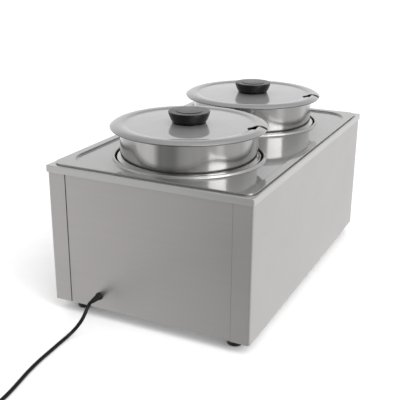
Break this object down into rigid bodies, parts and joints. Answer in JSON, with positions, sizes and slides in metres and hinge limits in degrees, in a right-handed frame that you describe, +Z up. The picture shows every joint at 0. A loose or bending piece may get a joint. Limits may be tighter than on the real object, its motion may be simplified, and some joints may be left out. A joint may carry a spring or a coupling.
{
  "type": "twin-pot soup kettle and food warmer",
  "caption": "Countertop wet-heat food warmer: a steel body with a heated water well, an adaptor plate and lidded round pots with black knobs.",
  "frame": {"origin": "centre of the footprint at the level of the surface the feet stand on, measured without the mains lead, its coil and plug", "axes": "+X to the right and +Y to the rear as seen from the side with the controls, which faces -Y; +Z up"},
  "size_m": [0.334, 0.9245, 0.3115],
  "materials": {
    "steel": "brushed",
    "bright_steel": "polished",
    "zinc": "satin",
    "rubber": "matte",
    "black_plastic": "satin",
    "switch_green": "gloss",
    "lamp_amber": "gloss",
    "white_plastic": "matte",
    "brown_resin": "matte",
    "copper": "satin",
    "brass": "satin",
    "element_sheath": "matte",
    "wire_brown": "matte",
    "wire_blue": "matte",
    "wire_green": "matte",
    "fuse_red": "matte",
    "cord_black": "matte"
  },
  "bodies": {
    "warmer_body": {"top_frame": "steel", "left_side_panel": "steel", "right_side_panel": "steel", "rear_panel": "steel", "front_panel": "steel", "base_plate": "zinc", "rubber_feet": "rubber", "foot_screws": "zinc", "foot_nuts": "zinc", "base_screws": "zinc", "well_tank": "bright_steel", "heating_element": "element_sheath", "element_clamps": "zinc", "clamp_studs": "zinc", "clamp_nuts": "zinc", "thermostat_body": "white_plastic", "thermostat_screws": "zinc", "dial_ring": "steel", "thermostat_bulb": "copper", "capillary_tube": "copper", "bulb_clips": "zinc", "overheat_cutout": "brown_resin", "switch_housing": "black_plastic", "lamp_body": "black_plastic", "lamp_lens": "lamp_amber", "terminal_block": "white_plastic", "earth_stud": "brass", "live_wiring": "wire_brown", "neutral_wiring": "wire_blue", "earth_wiring": "wire_green", "cord_gland": "rubber", "power_cord": "cord_black", "cord_coil": "cord_black", "cord_tail": "cord_black", "coil_tie": "black_plastic", "plug_body": "black_plastic", "plug_pins": "brass", "fuse_carrier": "fuse_red"},
    "plate": {"adaptor_plate": "steel"},
    "front_pot": {"front_pot": "bright_steel"},
    "rear_pot": {"rear_pot": "bright_steel"},
    "front_lid": {"front_lid": "bright_steel", "front_lid_knob": "black_plastic", "front_knob_screw": "zinc", "front_knob_washer": "zinc"},
    "rear_lid": {"rear_lid": "bright_steel", "rear_lid_knob": "black_plastic", "rear_knob_screw": "zinc", "rear_knob_washer": "zinc"},
    "thermostat_dial": {"thermostat_shaft": "zinc", "thermostat_knob": "black_plastic"},
    "power_rocker": {"switch_rocker": "switch_green"}
  },
  "joints": [
    {"name": "plate_lift", "type": "slide", "parent": "warmer_body", "child": "plate", "axis": [0, 0, 1], "range_m": [0, 0.16]},
    {"name": "front_pot_lift", "type": "slide", "parent": "plate", "child": "front_pot", "axis": [0, 0, 1], "range_m": [0, 0.18]},
    {"name": "rear_pot_lift", "type": "slide", "parent": "plate", "child": "rear_pot", "axis": [0, 0, 1], "range_m": [0, 0.18]},
    {"name": "front_lid_lift", "type": "slide", "parent": "front_pot", "child": "front_lid", "axis": [0, 0, 1], "range_m": [0, 0.1]},
    {"name": "rear_lid_lift", "type": "slide", "parent": "rear_pot", "child": "rear_lid", "axis": [0, 0, 1], "range_m": [0, 0.1]},
    {"name": "thermostat_turn", "type": "hinge", "parent": "warmer_body", "child": "thermostat_dial", "pos_m": [0.04, -0.28, 0.06], "axis": [0, 1, 0], "range_deg": [0, 270]},
    {"name": "power_switch", "type": "hinge", "parent": "warmer_body", "child": "power_rocker", "pos_m": [-0.07, -0.266, 0.06], "axis": [1, 0, 0], "range_deg": [0, 20]}
  ]
}
